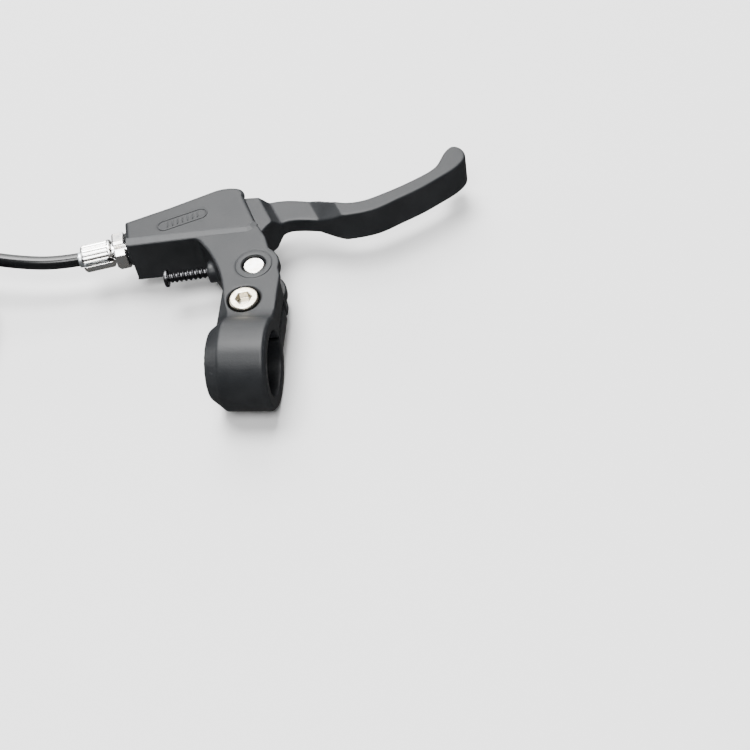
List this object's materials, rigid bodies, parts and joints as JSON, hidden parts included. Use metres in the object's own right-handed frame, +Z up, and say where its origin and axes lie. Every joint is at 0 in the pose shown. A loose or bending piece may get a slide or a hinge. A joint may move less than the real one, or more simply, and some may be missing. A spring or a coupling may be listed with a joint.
{
  "type": "bicycle brake lever",
  "caption": "Right-hand brake lever for a straight handlebar: clamp bracket, pivoting blade, barrel adjuster, reach screw and cable in its housing.",
  "frame": {"origin": "centre of the handlebar clamp's bore, at the middle of the band's width and of the lever's thickness", "axes": "+X along the bar towards the grip, +Y forwards from the bar in the lever's plane, +Z up along the pivot pin"},
  "size_m": [0.2333, 0.1478, 0.0316],
  "materials": {
    "moulded_black": "fine moulded grain, satin black",
    "bush_plastic": "plain acetal",
    "zinc_steel": "bright zinc plated",
    "spring_steel": "plain spring steel",
    "black_screw": "black oxide",
    "bright_alloy": "machined and polished",
    "ferrule_metal": "nickel plated",
    "housing_black": "extruded, glossy black",
    "wire_steel": "stranded galvanised steel",
    "nipple_metal": "cast zinc alloy",
    "tie_black": "moulded nylon"
  },
  "bodies": {
    "bracket": {"lever_bracket": "moulded_black", "clamp_bolt": "zinc_steel", "clamp_bolt_washer": "zinc_steel", "clamp_nut": "zinc_steel", "pivot_pin": "zinc_steel", "pivot_washer": "zinc_steel", "pivot_retaining_ring": "spring_steel", "return_spring": "spring_steel"},
    "lever": {"lever_blade": "moulded_black", "pivot_bush": "bush_plastic"},
    "reach_screw": {"reach_screw": "black_screw"},
    "lock_ring": {"adjuster_lock_ring": "bright_alloy"},
    "cable_stop": {"housing_ferrule": "ferrule_metal", "cable_housing": "housing_black", "housing_coil": "housing_black", "coil_tie": "tie_black", "housing_far_run": "housing_black", "far_ferrule": "ferrule_metal"},
    "adjuster": {"barrel_adjuster": "bright_alloy"},
    "inner_wire": {"inner_cable": "wire_steel", "cable_nipple": "nipple_metal"},
    "wire_tail": {"inner_cable_tail": "wire_steel", "tail_crimp": "ferrule_metal"}
  },
  "joints": [
    {"name": "lever_pivot", "type": "hinge", "parent": "bracket", "child": "lever", "pos_m": [0.0003, 0.0373, 0], "axis": [0, 0, -1], "range_deg": [0, 22], "stiffness_Nm_per_rad": 0.12, "springref_deg": -28.65, "deforming": ["return_spring"]},
    {"name": "inner_wire_slide", "type": "slide", "parent": "bracket", "child": "inner_wire", "axis": [0.9659, 0.2588, 0], "range_m": [0, 0.012]},
    {"name": "reach_screw_travel", "type": "slide", "parent": "bracket", "child": "reach_screw", "axis": [0.9884, 0.1521, 0], "range_m": [-0.006, 0]},
    {"name": "lock_ring_turn", "type": "hinge", "parent": "bracket", "child": "lock_ring", "pos_m": [-0.04915, 0.05606, 0], "axis": [-0.9659, -0.2588, 0], "range_deg": [0, 180]},
    {"name": "adjuster_travel", "type": "slide", "parent": "bracket", "child": "cable_stop", "axis": [-0.9659, -0.2588, 0], "range_m": [0, 0.005]},
    {"name": "adjuster_turn", "type": "hinge", "parent": "cable_stop", "child": "adjuster", "pos_m": [-0.04915, 0.05606, 0], "axis": [-0.9659, -0.2588, 0], "range_deg": [0, 1800]},
    {"name": "wire_tail_slide", "type": "slide", "parent": "cable_stop", "child": "wire_tail", "axis": [0, 1, 0], "range_m": [0, 0.012]}
  ],
  "couplings": [
    {"joint": "inner_wire_slide", "follows": "lever_pivot", "m_per_rad": 0.03101},
    {"joint": "wire_tail_slide", "follows": "lever_pivot", "m_per_rad": 0.03101},
    {"joint": "adjuster_turn", "follows": "adjuster_travel", "rad_per_m": 6283.2}
  ]
}
